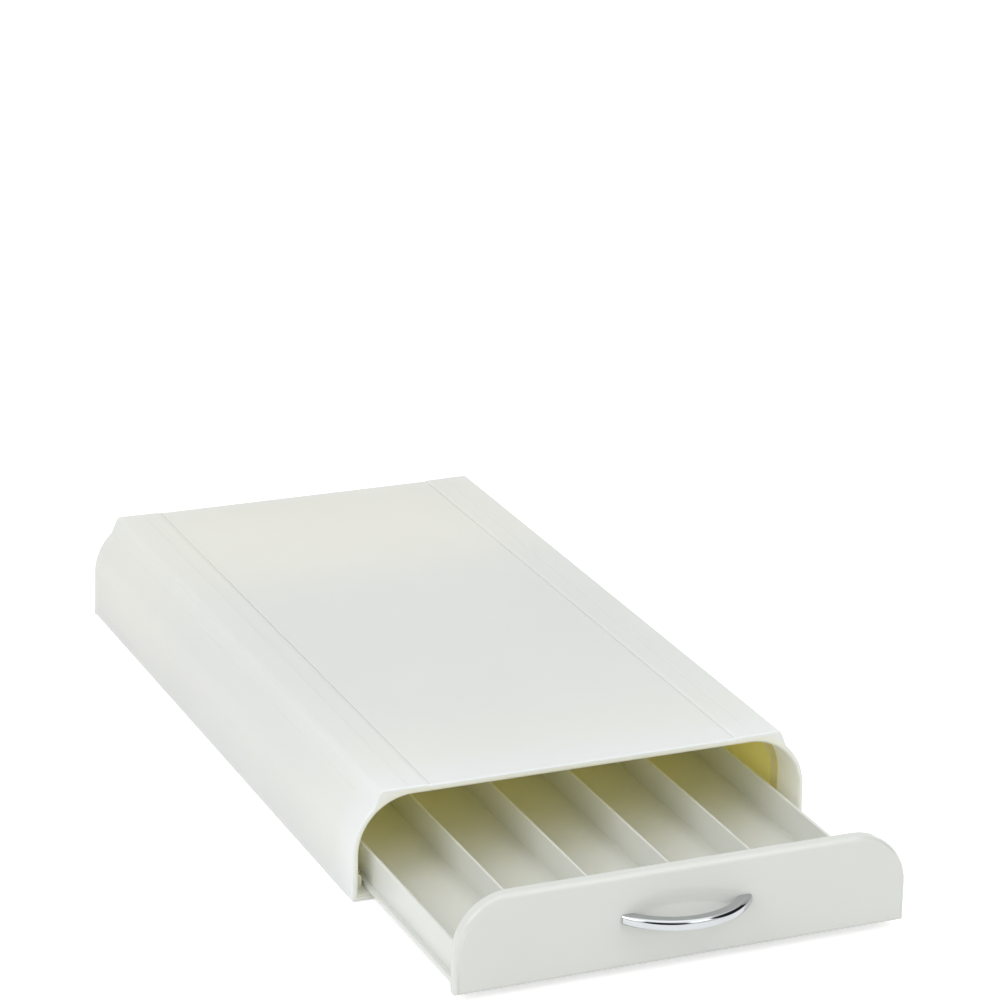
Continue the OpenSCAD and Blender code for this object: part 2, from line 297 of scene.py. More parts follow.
def whiten_outwards(material):
    """Fades the lip's painted cream glow to white over 2 mm, where the wall grows thicker."""
    tree = material.node_tree
    shader = tree.nodes["Principled BSDF"]
    place = tree.nodes["Texture Coordinate"].outputs["Object"]
    cream = shader.inputs["Base Color"].links[0].from_socket
    past = add_node(tree, "VectorMath", {0: place}, operation="ABSOLUTE")
    past = add_node(tree, "VectorMath", {
        0: past.outputs["Vector"], 1: (SHOULDER_X, BEYOND_Y, SHOULDER_Z)}, operation="SUBTRACT")
    past = add_node(tree, "VectorMath", {0: past.outputs["Vector"]}, operation="MAXIMUM")
    reach = add_node(tree, "VectorMath", {0: past.outputs["Vector"]}, operation="LENGTH")
    outside = add_node(tree, "MapRange", {
        "Value": reach.outputs["Value"],
        "From Min": SHOULDER_RADIUS - FADE, "From Max": SHOULDER_RADIUS + FADE})
    mixed = add_node(tree, "Mix", {
        MIX_FACTOR: outside.outputs["Result"], MIX_FIRST: cream,
        MIX_SECOND: linear("#F5F6F4")}, data_type="RGBA")
    tree.links.new(mixed.outputs[MIX_RESULT], shader.inputs["Base Color"])


# The cream is a painted glow of light leaking out of the lip's thin end.
lip_painted_glow_abs = gloss_abs("painted_glow_lip_abs", "#F5F6E6", "#F2F3E2", 0.3, 0.01, THROUGH_SHARE)
whiten_outwards(lip_painted_glow_abs)
print("made", lip_painted_glow_abs.name)

# %% [markdown]
# ## Metals, nylon and rubber
#
# The handle is a zinc casting with bright chrome plating. Chrome looks grey where it mirrors
# the panel and almost white where it mirrors the room, so its own colour is a middle grey and
# its roughness is close to none. Real plating has faint ripples from the casting under it.

# %% Chrome plate
RIPPLE_SIZE = 14
HAZE_SIZE = 5

chrome, tree, place, shader = new_material("chrome_plated_zinc")
ripple = add_node(tree, "TexNoise", {
    "Vector": place, "Scale": per_metre(RIPPLE_SIZE), "Detail": 1}).outputs["Fac"]
cloud = add_node(tree, "TexNoise", {
    "Vector": place, "Scale": per_metre(HAZE_SIZE), "Detail": 3}).outputs["Fac"]
haze = add_node(tree, "MapRange", {"Value": cloud, "To Min": 0.035, "To Max": 0.07})
tint = add_node(tree, "ValToRGB", {"Fac": ripple},
                stops=[(NOISE_LOW, "#BBBFC1"), (NOISE_HIGH, "#C3C6C8")])
give_finish(tree, shader, tint.outputs["Color"], haze.outputs["Result"], ripple, 0.01)
shader.inputs["Metallic"].default_value = 1
print("made", chrome.name)

# %% [markdown]
# In the other finishes one grain drives everything, so one function makes them. The screws have
# a coat of zinc, which is duller than chrome and a little blotchy. The stop clips are nylon in
# its natural ivory, from a mould that wasn't polished. The foot pads are a dark foam, whose cut
# cells make it rough and nearly matt.

# %% Zinc, nylon and foam
def grainy(name, colour, shade, roughness, size_mm, height_mm=0, ior=1.5, metallic=0):
    """A finish with a grain of a real size and height, and its least and most roughness."""
    material, tree, place, shader = new_material(name)
    grain = add_node(tree, "TexNoise", {
        "Vector": place, "Scale": per_metre(size_mm), "Detail": 3}).outputs["Fac"]
    tint = add_node(tree, "ValToRGB", {"Fac": grain},
                    stops=[(NOISE_LOW, shade), (NOISE_HIGH, colour)])
    dull = add_node(tree, "MapRange", {
        "Value": grain, "To Min": roughness[0], "To Max": roughness[1]})
    give_finish(tree, shader, tint.outputs["Color"], dull.outputs["Result"],
                grain if height_mm else None, height_mm)
    shader.inputs["IOR"].default_value = ior
    shader.inputs["Metallic"].default_value = metallic
    return material


zinc = grainy("zinc_plated_steel", "#C2C5C7", "#A3A7AA", (0.25, 0.42), 0.6, metallic=1)
nylon = grainy("moulded_natural_nylon", "#E6E8D2", "#DEE0C4", (0.36, 0.44), 1.5, 0.01, ior=1.53)
foam = grainy("closed_cell_foam_rubber", "#45464A", "#2E2F32", (0.765, 0.935), 0.8, 0.08)
print("made", zinc.name, nylon.name, "and", foam.name)

# %% [markdown]
# ## Tools for shaping
#
# Each piece starts from an operator: a cube, a cone, or one vertex that is drawn out into an
# outline. Straight runs add a vertex and an edge. Round runs spin the last vertex about the
# centre of the arc, so that a true radius is typed once and Blender works out the points. A
# piece that is the same on both sides is drawn as a right half and mirrored.

# %% Draw an outline
TINY = mm(0.001)
ARC_STEPS_PER_TURN = 96
FEWEST_STEPS = 3


def start_at(bm, x, y, z):
    return bm.verts.new((x, y, z))


def line_to(bm, last, x=None, y=None, z=None):
    """Adds a straight run to a place, which keeps what isn't given."""
    goal = [old if new is None else new for old, new in zip(last.co, (x, y, z))]
    point = bm.verts.new(goal)
    bm.edges.new((last, point))
    return point


def arc_to(bm, last, centre, degrees, axis=(0, 1, 0)):
    """Spins the last vertex round a centre, and returns the vertex at the arc's end."""
    steps = max(FEWEST_STEPS, round(abs(degrees) / 360 * ARC_STEPS_PER_TURN))
    spun = bmesh.ops.spin(bm, geom=[last], cent=centre, axis=axis, angle=math.radians(degrees),
                          steps=steps, use_merge=False, use_duplicate=False)
    return [part for part in spun["geom_last"] if isinstance(part, bmesh.types.BMVert)][0]


def arc_through(half_chord, rise):
    """Radius of an arc, and half the angle it spans in degrees."""
    radius = (half_chord ** 2 + rise ** 2) / (2 * rise)
    return radius, math.degrees(math.asin(half_chord / radius))


def fill(bm, edges):
    """One face in a closed loop of edges."""
    return bmesh.ops.contextual_create(bm, geom=edges)["faces"][0]


def mirror(bm):
    """Adds the left-hand copy of a right half, joined where they meet at x 0."""
    right_half = bm.verts[:] + bm.edges[:] + bm.faces[:]
    bmesh.ops.mirror(bm, geom=right_half, matrix=Matrix.Identity(4), merge_dist=TINY, axis="X")
    bmesh.ops.remove_doubles(bm, verts=bm.verts, dist=TINY / 10)
    bmesh.ops.recalc_face_normals(bm, faces=bm.faces)


print("a quarter turn gets", ARC_STEPS_PER_TURN // 4, "steps")

# %% [markdown]
# Three of the mouldings are cups of some kind: the sleeve is closed at its back, the tray at
# its bottom and the panel at its face. The outline of the wall and the outline of the hollow
# lie side by side in one plane. Both are pushed one way to make the closed end, and then the
# wall alone is pushed the other way.
#
# The sharp edges that this leaves are found by a test on their ends, and bevelled.

# %% Push faces out and round edges over
FOLD = math.radians(15)


def push(bm, faces, offset):
    """Extrudes faces by an offset, and returns the faces at the far end."""
    neighbours = {other for face in faces for edge in face.edges for other in edge.link_faces}
    in_a_surface = bool(neighbours - set(faces))
    made = bmesh.ops.extrude_face_region(bm, geom=faces)["geom"]
    corners = [part for part in made if isinstance(part, bmesh.types.BMVert)]
    bmesh.ops.translate(bm, verts=corners, vec=offset)
    if in_a_surface:
        bmesh.ops.delete(bm, geom=faces, context="FACES")
    return [part for part in made if isinstance(part, bmesh.types.BMFace)]


def cup(bm, walls, hollow, closed_end, open_end):
    """Makes a cup from faces in one plane: the closed end one way, the walls the other."""
    outer = push(bm, walls + [hollow], closed_end)
    bmesh.ops.dissolve_faces(bm, faces=outer)
    push(bm, walls, open_end)
    bmesh.ops.recalc_face_normals(bm, faces=bm.faces)


def near(one, other, spare=mm(0.01)):
    return abs(one - other) < spare


def folds(bm, test):
    """Edges where two faces meet at an angle, and whose two ends both pass a test."""
    return [edge for edge in bm.edges
            if len(edge.link_faces) == 2 and edge.calc_face_angle() > FOLD
            and all(test(end.co) for end in edge.verts)]


def round_over(bm, edges, radius, segments=4):
    bmesh.ops.bevel(bm, geom=edges, offset=radius, offset_type="OFFSET", segments=segments,
                    profile=0.5, affect="EDGES", clamp_overlap=False, material=-1)


print("edges that fold by more than", round(math.degrees(FOLD)), "degrees can be rounded")

# %% [markdown]
# The last helpers turn a finished bmesh into an object. Shallow angles are smoothed, and a
# Weighted Normal modifier keeps the large flat faces looking flat beside their small rounded
# edges. Then the piece is hung on an empty for the body it rides on, and the exact part that it
# stands for is hidden.

# %% Finishing helpers
SHARP_ANGLE = math.radians(40)


def add_object(bm, name, materials):
    """Turns a bmesh into an object at the origin, and frees it."""
    mesh = bpy.data.meshes.new(name)
    bm.to_mesh(mesh)
    bm.free()
    for material in materials:
        mesh.materials.append(material)
    added = bpy.data.objects.new(name, mesh)
    bpy.context.scene.collection.objects.link(added)
    return added


def finish_piece(bm, name, body, node, slot, *materials):
    """Makes the object, hangs it on its body's empty and hides the part it stands for."""
    bmesh.ops.recalc_face_normals(bm, faces=bm.faces)
    piece = add_object(bm, name, materials)
    mesh = piece.data
    mesh.shade_smooth()
    mesh.set_sharp_from_angle(angle=SHARP_ANGLE)
    piece.modifiers.new("flat_faces", "WEIGHTED_NORMAL").keep_sharp = True
    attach(piece, body)
    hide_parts(node)
    print(f"{name}: {len(mesh.vertices)} vertices, {len(mesh.polygons)} faces")


print("faces that meet at under", round(math.degrees(SHARP_ANGLE)), "degrees look smooth")

# %% [markdown]
# ## The housing
#
# The sleeve is one moulding with the same section all the way back: a raised deck, and on each
# side a flank, a cove, a big shoulder, a straight side, and an inward flange that the drawer
# runs on. So the section is drawn once and pushed out, which keeps its radii true.
#
# The flank leans out by 22 degrees and runs softly into the cove, and the cove into the
# shoulder, so the cove is a round that touches both of them. Its centre stands off the flank by
# its own radius, and is as far from the shoulder's centre as the two radii together. How far
# down the flank that second distance is right is the root of a quadratic.

# %% Find the cove
DECK_CORNER_X = mm(99.5)
DECK_EDGE_RADIUS = mm(3)
FLANK_LEAN = 22
COVE_RADIUS = mm(5)

lean = math.radians(FLANK_LEAN)
FLANK_DOWN = Vector((math.sin(lean), 0, -math.cos(lean)))
FLANK_OUT = Vector((math.cos(lean), 0, math.sin(lean)))


def find_cove():
    """The flank's length, and the centre of a cove that touches the flank and the shoulder."""
    corner = Vector((DECK_CORNER_X, 0, DECK_Z - DECK_EDGE_RADIUS))
    start = corner + (DECK_EDGE_RADIUS + COVE_RADIUS) * FLANK_OUT
    away = start - Vector((SHOULDER_X, 0, SHOULDER_Z))
    along = away.dot(FLANK_DOWN)
    reach = SHOULDER_RADIUS + COVE_RADIUS
    length = -along - math.sqrt(along ** 2 - away.length_squared + reach ** 2)
    return length, start + length * FLANK_DOWN


FLANK_LENGTH, COVE = find_cove()
COVE_TURN = math.degrees(math.atan2(COVE.z - SHOULDER_Z, COVE.x - SHOULDER_X))
print("flank", round(1000 * FLANK_LENGTH, 1), "mm, cove turns", round(COVE_TURN - FLANK_LEAN))

# %% [markdown]
# The deck has a sunken field in its middle, and a faint line further out. Both are steps up
# towards the edge, eased by a flat arc that ends level, which only turns the light a little.
#
# The section is drawn at the inner face of the back wall, as the right half of an outline that
# runs over the outside and returns along the inside. A straight edge between the tips of the
# two flanges then closes the hollow, so that the section and the hollow can make a cup.

# %% Draw the sleeve's section
WALL = mm(2.8)
DECK_THICKNESS = mm(3.8)
BACK_THICKNESS = mm(2.8)
FLANGE_WIDTH = mm(20)
FLANGE_THICKNESS = mm(3)
FIELD_HALF = mm(77.5)
FIELD_DROP = mm(0.6)
FIELD_EASE = mm(3)
LINE_HALF = mm(87.8)
LINE_DROP = mm(0.12)
LINE_EASE = mm(1.5)

OPENING_HALF = SHELL_HALF - WALL
OPENING_TOP = DECK_Z - DECK_THICKNESS
OPENING_RADIUS = OPENING_TOP - SHOULDER_Z
FLANGE_Z = BASE_Z + FLANGE_THICKNESS
FLANGE_HALF = housing_high.x - FLANGE_WIDTH
WALL_END_Y = BACK_Y - BACK_THICKNESS


def ease_up(bm, last, reach, drop):
    """Goes up and outwards over a rounded edge that is level at its top."""
    radius, turn = arc_through(reach, drop)
    return arc_to(bm, last, last.co + Vector((reach, 0, drop - radius)), turn)


def draw_section(bm, y):
    """Right half of the section, from the middle of the deck round to the ceiling."""
    shoulder = (SHOULDER_X, y, SHOULDER_Z)
    last = start_at(bm, 0, y, DECK_Z - FIELD_DROP)
    last = line_to(bm, last, x=FIELD_HALF)
    last = ease_up(bm, last, FIELD_EASE, FIELD_DROP - LINE_DROP)
    last = line_to(bm, last, x=LINE_HALF)
    last = ease_up(bm, last, LINE_EASE, LINE_DROP)
    last = line_to(bm, last, x=DECK_CORNER_X)
    corner = (DECK_CORNER_X, y, DECK_Z - DECK_EDGE_RADIUS)
    last = arc_to(bm, last, corner, 90 - FLANK_LEAN)
    foot = last.co + FLANK_LENGTH * FLANK_DOWN
    last = line_to(bm, last, x=foot.x, z=foot.z)
    last = arc_to(bm, last, (COVE.x, y, COVE.z), FLANK_LEAN - COVE_TURN)
    last = arc_to(bm, last, shoulder, COVE_TURN)
    last = line_to(bm, last, x=housing_high.x, z=BASE_Z)
    last = line_to(bm, last, x=FLANGE_HALF)
    last = line_to(bm, last, z=FLANGE_Z)
    last = line_to(bm, last, x=OPENING_HALF)
    last = line_to(bm, last, z=SHOULDER_Z)
    last = arc_to(bm, last, shoulder, -90)
    line_to(bm, last, x=0)


def in_hollow(place, spare=mm(0.05)):
    """Whether a place is in the sleeve's hollow, or within spare of it."""
    across, height = abs(place.x), place.z
    if height < FLANGE_Z - spare:
        return across < FLANGE_HALF + spare
    if across > SHOULDER_X and height > SHOULDER_Z:
        reach = math.hypot(across - SHOULDER_X, height - SHOULDER_Z)
        return reach < OPENING_RADIUS + spare
    return across < OPENING_HALF + spare and height < OPENING_TOP + spare


housing_bm = bmesh.new()
draw_section(housing_bm, WALL_END_Y)
mirror(housing_bm)
section = fill(housing_bm, housing_bm.edges[:])
tips = [v for v in housing_bm.verts if near(abs(v.co.x), FLANGE_HALF) and near(v.co.z, BASE_Z)]
housing_bm.edges.new(tips)
rim = [e for e in housing_bm.edges if all(in_hollow(v.co) for v in e.verts)]
cup(housing_bm, [section], fill(housing_bm, rim), (0, BACK_THICKNESS, 0),
    (0, FRONT_Y - WALL_END_Y, 0))
print("sleeve", [round(1000 * side) for side in housing_high - housing_low], "mm, still sharp")

# %% [markdown]
# The lips of the opening are rounded by a millimetre, as are the back wall's outer edges and
# the long edges of the flanges. One call rounds them all, so that they blend where they meet.

# %% Round the lips
LIP_RADIUS = mm(1)
LONG_EDGE = mm(100)


def is_long_edge(edge):
    """Whether an edge runs along a flange, at its tip or at the outer bottom corner."""
    one, other = (end.co for end in edge.verts)
    corner = near(abs(one.x), FLANGE_HALF) or near(abs(one.x), housing_high.x)
    return corner and one.z < FLANGE_Z + TINY and abs(one.y - other.y) > LONG_EDGE


lips = folds(housing_bm, lambda place: near(place.y, FRONT_Y))
lips += folds(housing_bm, lambda place: near(place.y, BACK_Y))
lips += [edge for edge in housing_bm.edges if is_long_edge(edge)]
round_over(housing_bm, lips, LIP_RADIUS)
print("rounded", len(lips), "edges by", 1000 * LIP_RADIUS, "mm")

# %% [markdown]
# At the foot of each eased step runs a groove, 0.6 mm wide and a fraction of a millimetre deep,
# which draws the fine line along the deck. It can't be drawn in the section, because the round
# of the lip is larger than the groove is deep, and would fold over it. So the level strips of
# the deck are sliced once the lip is round, and their outermost slivers are pushed down.
#
# Each foot pad sits in a shallow pocket, which is made in the same way: a piece of the flange's
# underside is sliced out and pushed up.

# %% Cut the grooves and sink the pockets
GROOVE_WIDTH = mm(0.6)
FIELD_GROOVE = mm(0.4)
LINE_GROOVE = mm(0.12)
PAD_PLACES = ("front_left", "front_right", "rear_left", "rear_right")
PAD_GAP = mm(0.2)
X_AXIS, Y_AXIS, Z_AXIS = range(3)


def slice_faces(bm, faces, axis, places):
    """Cuts some faces across an axis at each place, and returns all their pieces."""
    normal = [1 if axis == number else 0 for number in range(3)]
    for place in places:
        parts = set(faces)
        parts.update(edge for face in faces for edge in face.edges)
        parts.update(corner for face in faces for corner in face.verts)
        cut = bmesh.ops.bisect_plane(bm, geom=list(parts), dist=TINY / 10, plane_no=normal,
                                     plane_co=[place * part for part in normal])
        faces = [part for part in cut["geom"] if isinstance(part, bmesh.types.BMFace)]
    return faces


def cut_groove(bm, level_z, half, depth):
    """Sinks the outermost sliver of a level strip that ends at a half width."""
    start = half - GROOVE_WIDTH
    level = [f for f in bm.faces if all(near(v.co.z, level_z) for v in f.verts)]
    cells = slice_faces(bm, level, X_AXIS, [-start, start])
    foot = [f for f in cells if abs(f.calc_center_median().x) > start]
    push(bm, foot, (0, 0, -depth))


def sink_pocket(bm, low, high):
    """Sinks a pocket for a foot pad's box into the flange above it."""
    under = [f for f in bm.faces if near(f.calc_center_median().z, BASE_Z)
             and min(v.co.y for v in f.verts) < low.y and max(v.co.y for v in f.verts) > high.y
             and min(v.co.x for v in f.verts) < low.x and max(v.co.x for v in f.verts) > high.x]
    cells = slice_faces(bm, under, Y_AXIS, [low.y - PAD_GAP, high.y + PAD_GAP])
    cells = slice_faces(bm, cells, X_AXIS, [low.x - PAD_GAP, high.x + PAD_GAP])
    middle = (low + high) / 2
    pocket = [f for f in cells if (f.calc_center_bounds() - middle).xy.length < PAD_GAP]
    push(bm, pocket, (0, 0, high.z - BASE_Z))


cut_groove(housing_bm, DECK_Z - FIELD_DROP, FIELD_HALF, FIELD_GROOVE)
cut_groove(housing_bm, DECK_Z - LINE_DROP, LINE_HALF, LINE_GROOVE)
for place in PAD_PLACES:
    sink_pocket(housing_bm, *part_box(f"foot_{place}"))
print("cut two grooves a side, and", len(PAD_PLACES), "pockets")

# %% [markdown]
# Inside, a ledge along each side keeps the tray's lip down, and four hoop ribs stiffen each
# side. Both are drawn on the right, sunk half a millimetre into the wall so that no gap can
# show, and mirrored. Each rib starts in a bmesh of its own, so that the test for its inner
# edges finds no others.

# %% Add the ledges and ribs
SEAT = mm(0.5)
LEDGE_HALF = mm(104.7)
LEDGE_Z = mm(6.4)
LEDGE_THICKNESS = mm(1.6)
LEDGE_Y = mm(-114.75)
RIB_COUNT = 4
RIB_START = mm(22)
RIB_THICKNESS = mm(1.6)
RIB_HEIGHT = mm(3)
RIB_EDGE = mm(0.4)


def block(bm, low, high):
    """A box between two corners, from Blender's cube."""
    low, high = Vector(low), Vector(high)
    corners = bmesh.ops.create_cube(bm, size=1)["verts"]
    bmesh.ops.scale(bm, vec=high - low, verts=corners)
    bmesh.ops.translate(bm, vec=(low + high) / 2, verts=corners)


def draw_rib(bm, y):
    """The hoop's outline on the right, from the ceiling down to the ledge and back."""
    shoulder = (SHOULDER_X, y, SHOULDER_Z)
    first = start_at(bm, SHOULDER_X, y, OPENING_TOP + SEAT)
    last = arc_to(bm, first, shoulder, 90)
    last = line_to(bm, last, z=LEDGE_Z)
    last = line_to(bm, last, x=OPENING_HALF - RIB_HEIGHT)
    last = line_to(bm, last, z=SHOULDER_Z)
    last = arc_to(bm, last, shoulder, -90)
    bm.edges.new((last, first))


def join(bm, other):
    """Moves a second bmesh into the first one, by way of a mesh."""
    mesh = bpy.data.meshes.new("joined")
    other.to_mesh(mesh)
    other.free()
    bm.from_mesh(mesh)
    bpy.data.meshes.remove(mesh)


guides_bm = bmesh.new()
block(guides_bm, (LEDGE_HALF, LEDGE_Y, LEDGE_Z),
      (OPENING_HALF + SEAT, WALL_END_Y + SEAT, LEDGE_Z + LEDGE_THICKNESS))
round_over(guides_bm, folds(guides_bm, lambda place: place.x < OPENING_HALF), RIB_EDGE)
for number in range(RIB_COUNT):
    rib_y = FRONT_Y + RIB_START + number * (WALL_END_Y - FRONT_Y - RIB_START) / RIB_COUNT
    rib_bm = bmesh.new()
    draw_rib(rib_bm, rib_y)
    push(rib_bm, [fill(rib_bm, rib_bm.edges[:])], (0, RIB_THICKNESS, 0))
    inner = folds(rib_bm, lambda place: in_hollow(place) and place.z > LEDGE_Z)
    round_over(rib_bm, inner, RIB_EDGE, segments=3)
    join(guides_bm, rib_bm)
mirror(guides_bm)
join(housing_bm, guides_bm)
print("added a ledge and", RIB_COUNT, "ribs a side")

# %% [markdown]
# Three finishes meet on this one piece. Each face is given the number of its finish by where it
# is: on the flat end of the lip, in the hollow, or outside. The lip's cream and the hollow's
# yellow are painted light.

# %% Give the sleeve its finishes
OUTSIDE, INSIDE, LIP_END = range(3)
FACING = 0.99

housing_bm.normal_update()
for face in housing_bm.faces:
    middle = face.calc_center_median()
    if face.normal.y < -FACING and near(middle.y, FRONT_Y):
        face.material_index = LIP_END
    elif in_hollow(middle, LIP_RADIUS) and middle.y < WALL_END_Y + SEAT:
        face.material_index = INSIDE
    else:
        face.material_index = OUTSIDE
finish_piece(housing_bm, "sleeve_moulding", "housing_body", "housing", "housing_plastic",
             housing_abs, inner_painted_light_abs, lip_painted_glow_abs)

# %% [markdown]
# ## The tray
#
# The tray is a shallow cup that is open at the top. Its wall is drawn in plan as a right half
# and mirrored. The end walls have slots for the dividers, so the inside of the outline steps
# out and back at each one.

# %% Draw the tray in plan
TRAY_HALF = mm(103.7)
SIDE_THICKNESS = mm(1.8)
END_THICKNESS = mm(2.4)
FLOOR_THICKNESS = mm(2)
SLOT_DEPTH = mm(1.2)
SLOT_GAP = mm(0.1)
DIVIDER_THICKNESS = mm(1.5)
LANE_COUNT = 5
LANE_PITCH = (2 * TRAY_HALF - SIDE_THICKNESS) / LANE_COUNT
FLOOR_Z = tray_low.z + FLOOR_THICKNESS
INSIDE_HALF = TRAY_HALF - SIDE_THICKNESS
INSIDE_FRONT = tray_low.y + END_THICKNESS
INSIDE_BACK = tray_high.y - END_THICKNESS
SLOT_HALF = DIVIDER_THICKNESS / 2 + SLOT_GAP
RIGHT_DIVIDERS = [LANE_PITCH / 2, LANE_PITCH * 3 / 2]


def draw_tray_half(bm):
    """Right half of the walls in plan: round the outside, then back along the inside."""
    first = start_at(bm, 0, tray_low.y, FLOOR_Z)
    last = line_to(bm, first, x=TRAY_HALF)
    last = line_to(bm, last, y=tray_high.y)
    last = line_to(bm, last, x=0)
    last = line_to(bm, last, y=INSIDE_BACK)
    for divider_x in RIGHT_DIVIDERS:
        last = line_to(bm, last, x=divider_x - SLOT_HALF)
        last = line_to(bm, last, y=INSIDE_BACK + SLOT_DEPTH)
        last = line_to(bm, last, x=divider_x + SLOT_HALF)
        last = line_to(bm, last, y=INSIDE_BACK)
    last = line_to(bm, last, x=INSIDE_HALF)
    last = line_to(bm, last, y=INSIDE_FRONT)
    for divider_x in reversed(RIGHT_DIVIDERS):
        last = line_to(bm, last, x=divider_x + SLOT_HALF)
        last = line_to(bm, last, y=INSIDE_FRONT - SLOT_DEPTH)
        last = line_to(bm, last, x=divider_x - SLOT_HALF)
        last = line_to(bm, last, y=INSIDE_FRONT)
    last = line_to(bm, last, x=0)
    bm.edges.new((last, first))


tray_bm = bmesh.new()
draw_tray_half(tray_bm)
fill(tray_bm, tray_bm.edges[:])
mirror(tray_bm)
walls = tray_bm.faces[:]
well = [e for e in tray_bm.edges if all(
    abs(v.co.x) < TRAY_HALF - TINY and tray_low.y + TINY < v.co.y < tray_high.y - TINY
    for v in e.verts)]
cup(tray_bm, walls, fill(tray_bm, well), (0, 0, tray_low.z - FLOOR_Z),
    (0, 0, tray_high.z - FLOOR_Z))
print("tray", [round(1000 * side, 1) for side in tray_high - tray_low], "mm over its lugs")

# %% [markdown]
# The lip that runs on the flange is the bottom of each side pushed out, and each stop lug is a
# short length of the lip pushed out further. The tops of the walls are then rounded to a soft
# half-millimetre edge, which is what catches the light along a thin moulded wall.

# %% Push out the lips and lugs
LIP_TOP = tray_low.z + mm(2.2)
LIP_WIDTH = mm(2.4)
LUG_Y = mm(73.05)
LUG_LENGTH = mm(8)
WALL_TOP_RADIUS = mm(0.5)

tray_bm.normal_update()
sides = [f for f in tray_bm.faces if near(abs(f.calc_center_median().x), TRAY_HALF)]
slice_faces(tray_bm, sides, Z_AXIS, [LIP_TOP])
for side in (-1, 1):
    lip = [f for f in tray_bm.faces if near(f.calc_center_median().x, side * TRAY_HALF)
           and abs(f.normal.x) > FACING and max(v.co.z for v in f.verts) < LIP_TOP + TINY]
    outer = push(tray_bm, lip, (side * LIP_WIDTH, 0, 0))
    cells = slice_faces(tray_bm, outer, Y_AXIS, [LUG_Y, LUG_Y + LUG_LENGTH])
    lug = [f for f in cells if LUG_Y < f.calc_center_median().y < LUG_Y + LUG_LENGTH]
    push(tray_bm, lug, (side * (tray_high.x - TRAY_HALF - LIP_WIDTH), 0, 0))
round_over(tray_bm, folds(tray_bm, lambda place: near(place.z, tray_high.z)), WALL_TOP_RADIUS)
finish_piece(tray_bm, "tray_moulding", "drawer_body", "tray", "tray_plastic", tray_abs_painted_shade)

# %% [markdown]
# ## The lane dividers
#
# Each divider is a thin strip that slides down into its slots. A strip this thin comes out of
# the mould with its top rounded over almost to a half circle, so it is a box with one bevel.
# The round top is what draws the bright line along each lane.

# %% Make the dividers
DIVIDER_TOP_RADIUS = mm(0.6)

for number in range(1, LANE_COUNT):
    low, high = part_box(f"divider_{number}")
    strip_bm = bmesh.new()
    block(strip_bm, low, high)
    top = folds(strip_bm, lambda place: near(place.z, high.z))
    round_over(strip_bm, top, DIVIDER_TOP_RADIUS)
    finish_piece(strip_bm, f"lane_strip_{number}", "drawer_body", f"divider_{number}",
                 "tray_plastic", tray_abs_painted_shade)

# %% [markdown]
# ## The front panel
#
# The panel is a shallow cap: a face with two large round top corners, and a rim behind it that
# meets the tray's front wall. The rim is the strip between two such outlines, one inside the
# other, so it keeps its thickness round the corners. The face runs into the rim over a soft
# edge of 2.5 mm, because a polished panel shows its edge as one broad highlight.

# %% Draw the panel and its rim
PLATE_THICKNESS = mm(2.6)
RIM_THICKNESS = mm(2)
PANEL_RADIUS = mm(26.2)
PANEL_EDGE = mm(2.5)
PANEL_HALF = panel_high.x


def draw_cap_half(bm, inset):
    """Right half of the cap's outline, from the top middle to the bottom middle."""
    y = panel_low.y + PLATE_THICKNESS
    radius = PANEL_RADIUS - inset
    half, top, bottom = PANEL_HALF - inset, panel_high.z - inset, panel_low.z + inset
    first = start_at(bm, 0, y, top)
    last = line_to(bm, first, x=half - radius)
    last = arc_to(bm, last, (half - radius, y, top - radius), 90)
    last = line_to(bm, last, z=bottom)
    last = line_to(bm, last, x=0)
    return first, last


def in_recess(place):
    """Whether a place is inside the rim, or on its inner outline."""
    across, height = abs(place.x), place.z
    low, high = panel_low.z + RIM_THICKNESS - TINY, panel_high.z - RIM_THICKNESS + TINY
    half = PANEL_HALF - RIM_THICKNESS + TINY
    corner_x, corner_z = PANEL_HALF - PANEL_RADIUS, panel_high.z - PANEL_RADIUS
    reach = math.hypot(max(0, across - corner_x), max(0, height - corner_z))
    return across < half and low < height < high and reach < PANEL_RADIUS - RIM_THICKNESS / 2


panel_bm = bmesh.new()
outer_top, outer_bottom = draw_cap_half(panel_bm, 0)
inner_top, inner_bottom = draw_cap_half(panel_bm, RIM_THICKNESS)
panel_bm.edges.new((outer_top, inner_top))
panel_bm.edges.new((outer_bottom, inner_bottom))
fill(panel_bm, panel_bm.edges[:])
mirror(panel_bm)
walls = panel_bm.faces[:]
recess = fill(panel_bm, [e for e in panel_bm.edges if all(in_recess(v.co) for v in e.verts)])
cup(panel_bm, walls, recess, (0, -PLATE_THICKNESS, 0),
    (0, panel_high.y - panel_low.y - PLATE_THICKNESS, 0))
face_edges = folds(panel_bm, lambda place: near(place.y, panel_low.y))
round_over(panel_bm, face_edges, PANEL_EDGE, segments=8)
print("panel", [round(1000 * side, 1) for side in panel_high - panel_low], "mm")

# %% [markdown]
# Bosses stand on the back of the face, where the screws go in. A boss is a short cylinder. A
# cone operator with two equal radii makes it, turned to lie along Y.

# %% Add the bosses
BOSS_RADIUS = mm(3.6)
HANDLE_BOSS_HEIGHT = mm(1.6)


def round_bar(bm, x, z, y_start, y_end, radius, steps=32):
    """A round bar along Y between two places."""
    turn = Matrix.Translation((x, (y_start + y_end) / 2, z)) @ Matrix.Rotation(
        math.radians(90), 4, "X")
    bmesh.ops.create_cone(bm, cap_ends=True, segments=steps, radius1=radius, radius2=radius,
                          depth=y_end - y_start, matrix=turn)


